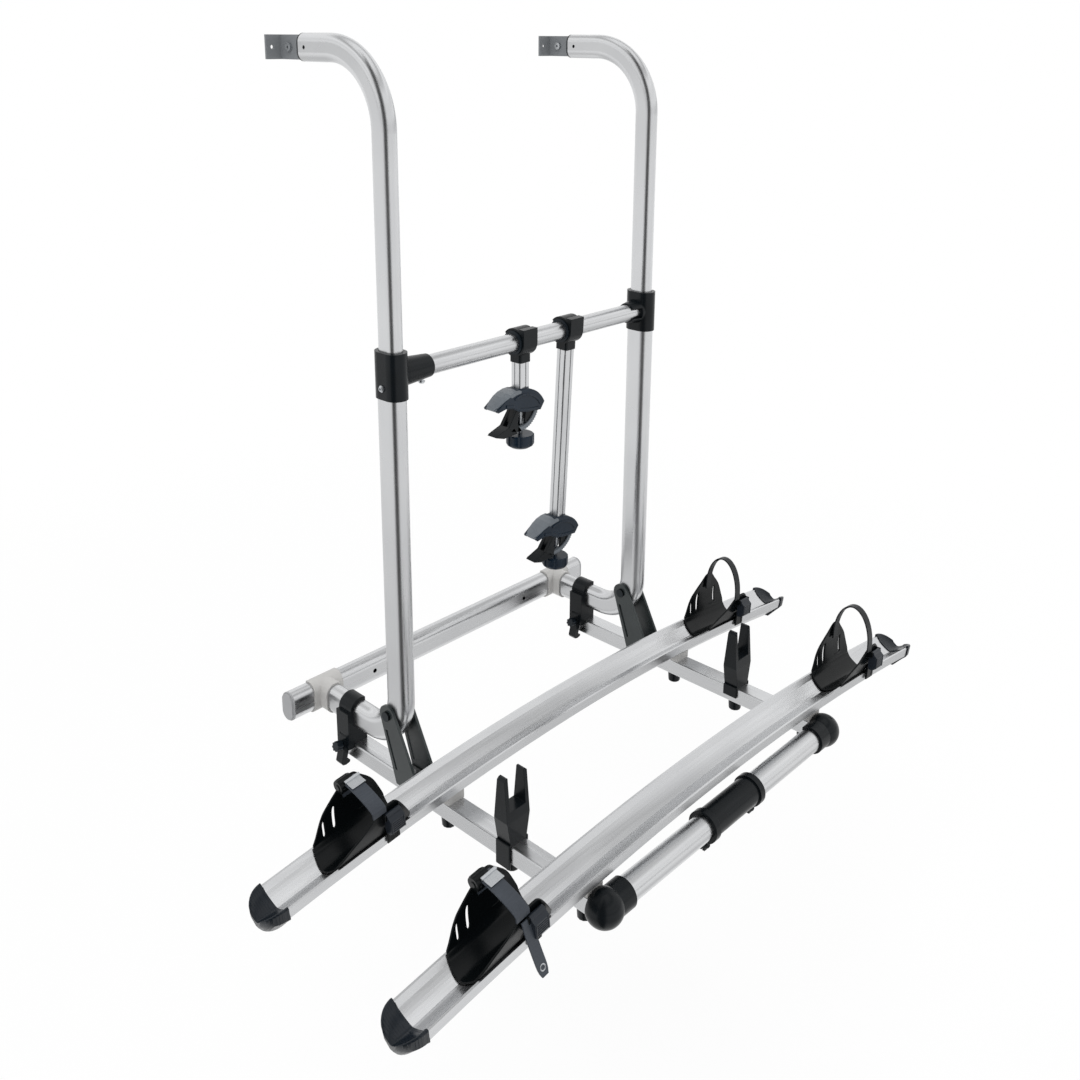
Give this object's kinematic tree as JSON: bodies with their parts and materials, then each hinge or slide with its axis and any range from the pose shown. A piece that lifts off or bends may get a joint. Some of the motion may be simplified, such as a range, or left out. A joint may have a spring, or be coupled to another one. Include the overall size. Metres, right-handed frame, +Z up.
{
  "type": "motorhome bike rack",
  "caption": "Wall-mounted bicycle rack: a bent-tube frame with a folding platform, two curved wheel rails, wheel holders and two arms with clamping claws.",
  "frame": {"origin": "centre of the wall bar's back face, in the plane of the vehicle wall", "axes": "+X along the wheel rails to the right as seen from behind the vehicle, +Y into the vehicle wall, +Z up"},
  "size_m": [1.2922, 0.7165, 1.2575],
  "materials": {
    "aluminium": "satin anodised",
    "black_plastic": "fine-grained",
    "grey_plastic": "matt",
    "light_grey_plastic": "matt",
    "dark_grey_plastic": "matt",
    "cradle_plastic": "fine-grained",
    "strap_plastic": "soft and flexible",
    "bracket_metal": "satin",
    "steel": "zinc-plated"
  },
  "bodies": {
    "frame": {"wall_bar": "aluminium", "wall_bar_caps": "grey_plastic", "foot_collars": "light_grey_plastic", "lower_upright_left": "aluminium", "lower_upright_right": "aluminium", "upright_joint_left": "black_plastic", "upright_joint_right": "black_plastic", "crossbar": "aluminium", "frame_screws": "steel", "latch_saddles": "black_plastic"},
    "top_frame": {"upper_upright_left": "aluminium", "upper_upright_right": "aluminium", "upright_plugs": "black_plastic", "wall_brackets": "bracket_metal", "bracket_bolts": "steel"},
    "platform": {"base_bar_left": "aluminium", "base_bar_right": "aluminium", "base_bar_caps": "black_plastic", "pivot_cheeks": "black_plastic", "pivot_pins": "bracket_metal", "rail_rear": "aluminium", "rail_front": "aluminium", "rail_caps": "black_plastic", "rail_saddles": "light_grey_plastic", "fork_left": "black_plastic", "fork_right": "black_plastic", "elbow_left": "black_plastic", "elbow_right": "black_plastic", "front_tube": "aluminium", "front_tube_sleeve": "black_plastic", "platform_bolts": "black_plastic"},
    "short_arm_carrier": {"short_arm_liner": "dark_grey_plastic"},
    "short_arm": {"short_arm_clamp": "black_plastic", "short_arm_tube": "aluminium"},
    "short_claw": {"short_claw_hood": "black_plastic"},
    "short_jaw": {"short_claw_jaw": "black_plastic"},
    "short_knob": {"short_claw_knob": "black_plastic"},
    "long_arm_carrier": {"long_arm_liner": "dark_grey_plastic"},
    "long_arm": {"long_arm_clamp": "black_plastic", "long_arm_tube": "aluminium"},
    "long_claw": {"long_claw_hood": "black_plastic"},
    "long_jaw": {"long_claw_jaw": "black_plastic"},
    "long_knob": {"long_claw_knob": "black_plastic"},
    "holder_rear_left": {"cradle_rear_left": "cradle_plastic", "strap_rear_left": "strap_plastic"},
    "lever_rear_left": {"buckle_rear_left": "dark_grey_plastic"},
    "holder_rear_right": {"cradle_rear_right": "cradle_plastic", "strap_rear_right": "black_plastic"},
    "lever_rear_right": {"buckle_rear_right": "dark_grey_plastic"},
    "holder_front_left": {"cradle_front_left": "cradle_plastic", "strap_front_left": "strap_plastic"},
    "lever_front_left": {"buckle_front_left": "dark_grey_plastic"},
    "holder_front_right": {"cradle_front_right": "cradle_plastic", "strap_front_right": "black_plastic"},
    "lever_front_right": {"buckle_front_right": "dark_grey_plastic"},
    "latch_left": {"latch_hook_left": "black_plastic"},
    "latch_left_knob": {"latch_knob_left": "dark_grey_plastic"},
    "latch_right": {"latch_hook_right": "black_plastic"},
    "latch_right_knob": {"latch_knob_right": "dark_grey_plastic"}
  },
  "joints": [
    {"name": "top_frame_slide", "type": "slide", "parent": "frame", "child": "top_frame", "axis": [0, 0, 1], "range_m": [-0.15, 0.12]},
    {"name": "platform_fold", "type": "hinge", "parent": "frame", "child": "platform", "pos_m": [0, -0.2265, 0.0505], "axis": [-1, 0, 0], "range_deg": [0, 90]},
    {"name": "short_arm_slide", "type": "slide", "parent": "frame", "child": "short_arm_carrier", "axis": [1, 0, 0], "range_m": [-0.17, 0.02]},
    {"name": "short_arm_swing", "type": "hinge", "parent": "short_arm_carrier", "child": "short_arm", "pos_m": [-0.023, -0.2385, 0.643], "axis": [-1, 0, 0], "range_deg": [0, 100]},
    {"name": "short_claw_swivel", "type": "hinge", "parent": "short_arm", "child": "short_claw", "pos_m": [-0.023, -0.2385, 0.507], "axis": [0, 0, -1], "range_deg": [-90, 90]},
    {"name": "short_jaw_close", "type": "hinge", "parent": "short_claw", "child": "short_jaw", "pos_m": [-0.033, -0.2385, 0.531], "axis": [0, 1, 0], "range_deg": [-3, 25]},
    {"name": "short_knob_turn", "type": "hinge", "parent": "short_claw", "child": "short_knob", "pos_m": [-0.023, -0.2385, 0.507], "axis": [0, 0, -1], "continuous": true},
    {"name": "long_arm_slide", "type": "slide", "parent": "frame", "child": "long_arm_carrier", "axis": [1, 0, 0], "range_m": [-0.035, 0.13]},
    {"name": "long_arm_swing", "type": "hinge", "parent": "long_arm_carrier", "child": "long_arm", "pos_m": [0.095, -0.2385, 0.643], "axis": [-1, 0, 0], "range_deg": [0, 100]},
    {"name": "long_claw_swivel", "type": "hinge", "parent": "long_arm", "child": "long_claw", "pos_m": [0.095, -0.21823, 0.2285], "axis": [0, 0.0489, -0.9988], "range_deg": [-90, 90]},
    {"name": "long_jaw_close", "type": "hinge", "parent": "long_claw", "child": "long_jaw", "pos_m": [0.085, -0.2194, 0.25247], "axis": [0, 0.9988, 0.0489], "range_deg": [-3, 25]},
    {"name": "long_knob_turn", "type": "hinge", "parent": "long_claw", "child": "long_knob", "pos_m": [0.095, -0.21823, 0.2285], "axis": [0, 0.0489, -0.9988], "continuous": true},
    {"name": "holder_rear_left_slide", "type": "hinge", "parent": "platform", "child": "holder_rear_left", "pos_m": [0, -0.3527, -4.46951], "axis": [0, 1, 0], "range_deg": [-0.9, 0.77]},
    {"name": "lever_rear_left_open", "type": "hinge", "parent": "holder_rear_left", "child": "lever_rear_left", "pos_m": [-0.45696, -0.3965, 0.02316], "axis": [-0.9935, 0, -0.1135], "range_deg": [0, 110]},
    {"name": "holder_rear_right_slide", "type": "hinge", "parent": "platform", "child": "holder_rear_right", "pos_m": [0, -0.3527, -4.46951], "axis": [0, 1, 0], "range_deg": [-0.77, 1.41]},
    {"name": "lever_rear_right_open", "type": "hinge", "parent": "holder_rear_right", "child": "lever_rear_right", "pos_m": [0.47754, -0.3965, 0.02102], "axis": [-0.9956, 0, 0.0934], "range_deg": [0, 110]},
    {"name": "holder_front_left_slide", "type": "hinge", "parent": "platform", "child": "holder_front_left", "pos_m": [0, -0.6493, -4.46951], "axis": [0, 1, 0], "range_deg": [-0.9, 0.77]},
    {"name": "lever_front_left_open", "type": "hinge", "parent": "holder_front_left", "child": "lever_front_left", "pos_m": [-0.45696, -0.6931, 0.02316], "axis": [-0.9935, 0, -0.1135], "range_deg": [0, 110]},
    {"name": "holder_front_right_slide", "type": "hinge", "parent": "platform", "child": "holder_front_right", "pos_m": [0, -0.6493, -4.46951], "axis": [0, 1, 0], "range_deg": [-0.77, 1.41]},
    {"name": "lever_front_right_open", "type": "hinge", "parent": "holder_front_right", "child": "lever_front_right", "pos_m": [0.47754, -0.6931, 0.02102], "axis": [-0.9956, 0, 0.0934], "range_deg": [0, 110]},
    {"name": "latch_left_swing", "type": "hinge", "parent": "frame", "child": "latch_left", "pos_m": [-0.329, -0.11, -0.04], "axis": [0, 1, 0], "range_deg": [-14, 61]},
    {"name": "latch_left_knob_turn", "type": "hinge", "parent": "latch_left", "child": "latch_left_knob", "pos_m": [-0.33845, -0.11, -0.05516], "axis": [-0.9703, 0, 0.2419], "continuous": true},
    {"name": "latch_right_swing", "type": "hinge", "parent": "frame", "child": "latch_right", "pos_m": [0.283, -0.11, -0.04], "axis": [0, 1, 0], "range_deg": [-14, 61]},
    {"name": "latch_right_knob_turn", "type": "hinge", "parent": "latch_right", "child": "latch_right_knob", "pos_m": [0.27355, -0.11, -0.05516], "axis": [-0.9703, 0, 0.2419], "continuous": true}
  ]
}
